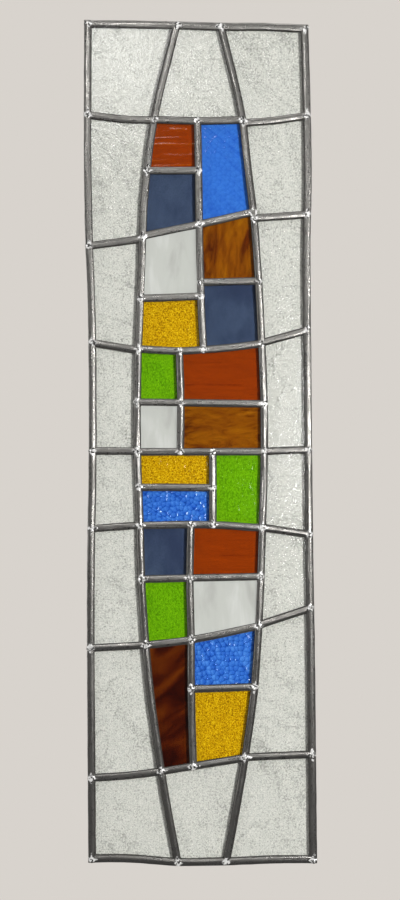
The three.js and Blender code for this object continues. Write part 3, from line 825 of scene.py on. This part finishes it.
FLOOR_RADIUS = 0.7
FLOOR_HEIGHT = -0.3
CARD_GAP = 0.8 * MM
CARD_INSET = 2 * MM


def plain_surface(name, code):
    """Matt paint of one colour, nearly without gloss, for the stage alone."""
    finish = bpy.data.materials.new(name)
    finish.use_nodes = True
    sockets = finish.node_tree.nodes["Principled BSDF"].inputs
    sockets["Base Color"].default_value = colour(code)
    sockets["Roughness"].default_value = 0.9
    sockets["Specular IOR Level"].default_value = 0.1
    return finish


def stage_sheet(name, corners, finish):
    """One flat face of the stage from its corners in metres."""
    mesh = bpy.data.meshes.new(name)
    mesh.from_pydata(corners, [], [list(range(len(corners)))])
    mesh.materials.append(finish)
    sheet = bpy.data.objects.new(name, mesh)
    bpy.context.scene.collection.objects.link(sheet)
    return sheet


turn = np.linspace(0, 2 * np.pi, 96, endpoint=False)
floor_disc = np.column_stack([FLOOR_RADIUS * np.cos(turn), FLOOR_RADIUS * np.sin(turn),
                              np.full(len(turn), FLOOR_HEIGHT)])
floor = stage_sheet("floor", floor_disc.tolist(), plain_surface("Pale floor", "#D8D4CE"))
floor.visible_glossy = False

(low_x, _, low_z), (high_x, high_y, high_z) = cad_box
card_y = high_y + CARD_GAP
card_left, card_right = low_x + CARD_INSET, high_x - CARD_INSET
card_foot, card_head = low_z + CARD_INSET, high_z - CARD_INSET
card = stage_sheet("card", [(card_left, card_y, card_foot), (card_right, card_y, card_foot),
                            (card_right, card_y, card_head), (card_left, card_y, card_head)],
                   plain_surface("White card", "#E6E4E0"))
for way in ("camera", "diffuse", "glossy", "shadow", "volume_scatter"):
    setattr(card, "visible_" + way, False)


def lamp(name, place, size, watts):
    """A soft box, `size` metres wide and high, that faces the middle of the panel. It lights the panel
    and glints on it, but isn't seen itself, either directly or through glass."""
    data = bpy.data.lights.new(name, "AREA")
    data.shape = "RECTANGLE"
    data.size, data.size_y = size
    data.energy = watts
    box = bpy.data.objects.new(name, data)
    bpy.context.scene.collection.objects.link(box)
    middle = (np.array(cad_box[0]) + np.array(cad_box[1])) / 2
    box.location = place
    direction = box.location.copy()
    direction.xyz = np.array(place) - middle
    box.rotation_euler = direction.to_track_quat("Z", "Y").to_euler()
    box.visible_camera = False
    box.visible_transmission = False
    return box


# The key gives the light, the others mostly the glints on lead, solder and glass.
lamp("key", (1.25, -2.4, 0.5), (0.24, 0.24), 82).visible_glossy = False
lamp("spark", (0.95, -1.8, 0.88), (0.12, 0.12), 1.4)
lamp("top", (-0.3, -0.9, 2.3), (1.6, 0.5), 4)
lamp("left", (-1.7, -1.1, 0.6), (0.4, 1.6), 6)
lamp("ceiling", (-0.25, -2.5, 1.6), (0.5, 0.3), 3)
lamp("window", (0.55, -2.2, 0.5), (0.25, 0.38), 5.2)
lamp("back", (0.9, 1.9, 1.3), (1.0, 1.0), 16)

# The surroundings. A ray that looks straight out, or out through glass, meets a pale backdrop, if it
# hasn't yet been scattered. All others meet a dimmer room that grows brighter overhead.
world = bpy.data.worlds.new("studio")
bpy.context.scene.world = world
world.use_nodes = True
tree = world.node_tree
tree.nodes.clear()
ray = node(tree, "ShaderNodeLightPath")
looking = node(tree, "ShaderNodeMath", links={0: ray.outputs["Is Camera Ray"],
                                              1: ray.outputs["Is Transmission Ray"]}, operation="MAXIMUM")
first = node(tree, "ShaderNodeMath", {1: 0.5}, {0: ray.outputs["Diffuse Depth"]}, operation="LESS_THAN")
seen = node(tree, "ShaderNodeMath", links={0: looking.outputs["Value"], 1: first.outputs["Value"]},
            operation="MULTIPLY")
backdrop = node(tree, "ShaderNodeBackground", {"Color": colour("#D8D3CD"), "Strength": 1})
direction = node(tree, "ShaderNodeTexCoord").outputs["Generated"]
height = node(tree, "ShaderNodeSeparateXYZ", links={"Vector": direction})
strength = node(tree, "ShaderNodeMapRange",
                {"From Min": 0.0, "From Max": 0.7, "To Min": 0.095, "To Max": 0.21},
                {"Value": height.outputs["Z"]})
dim = node(tree, "ShaderNodeBackground", {"Color": colour("#E4E4E6")},
           {"Strength": strength.outputs["Result"]})
either = node(tree, "ShaderNodeMixShader", links={0: seen.outputs["Value"], 1: dim.outputs["Background"],
                                                  2: backdrop.outputs["Background"]})
node(tree, "ShaderNodeOutputWorld", links={"Surface": either.outputs["Shader"]})
bpy.context.scene.view_settings.view_transform = "Standard"


# ---------- Camera ----------
# A 60 mm lens about 1.5 m away, a little below the middle of the panel and left of it.

view = bpy.data.cameras.new("camera")
view.lens = 60
view.sensor_width = 36
camera = bpy.data.objects.new("camera", view)
bpy.context.scene.collection.objects.link(camera)
camera.location = (-0.0340, -1.4984, 0.3616)
camera.rotation_euler = np.radians([91.914, 0.465, -1.313])
bpy.context.scene.camera = camera
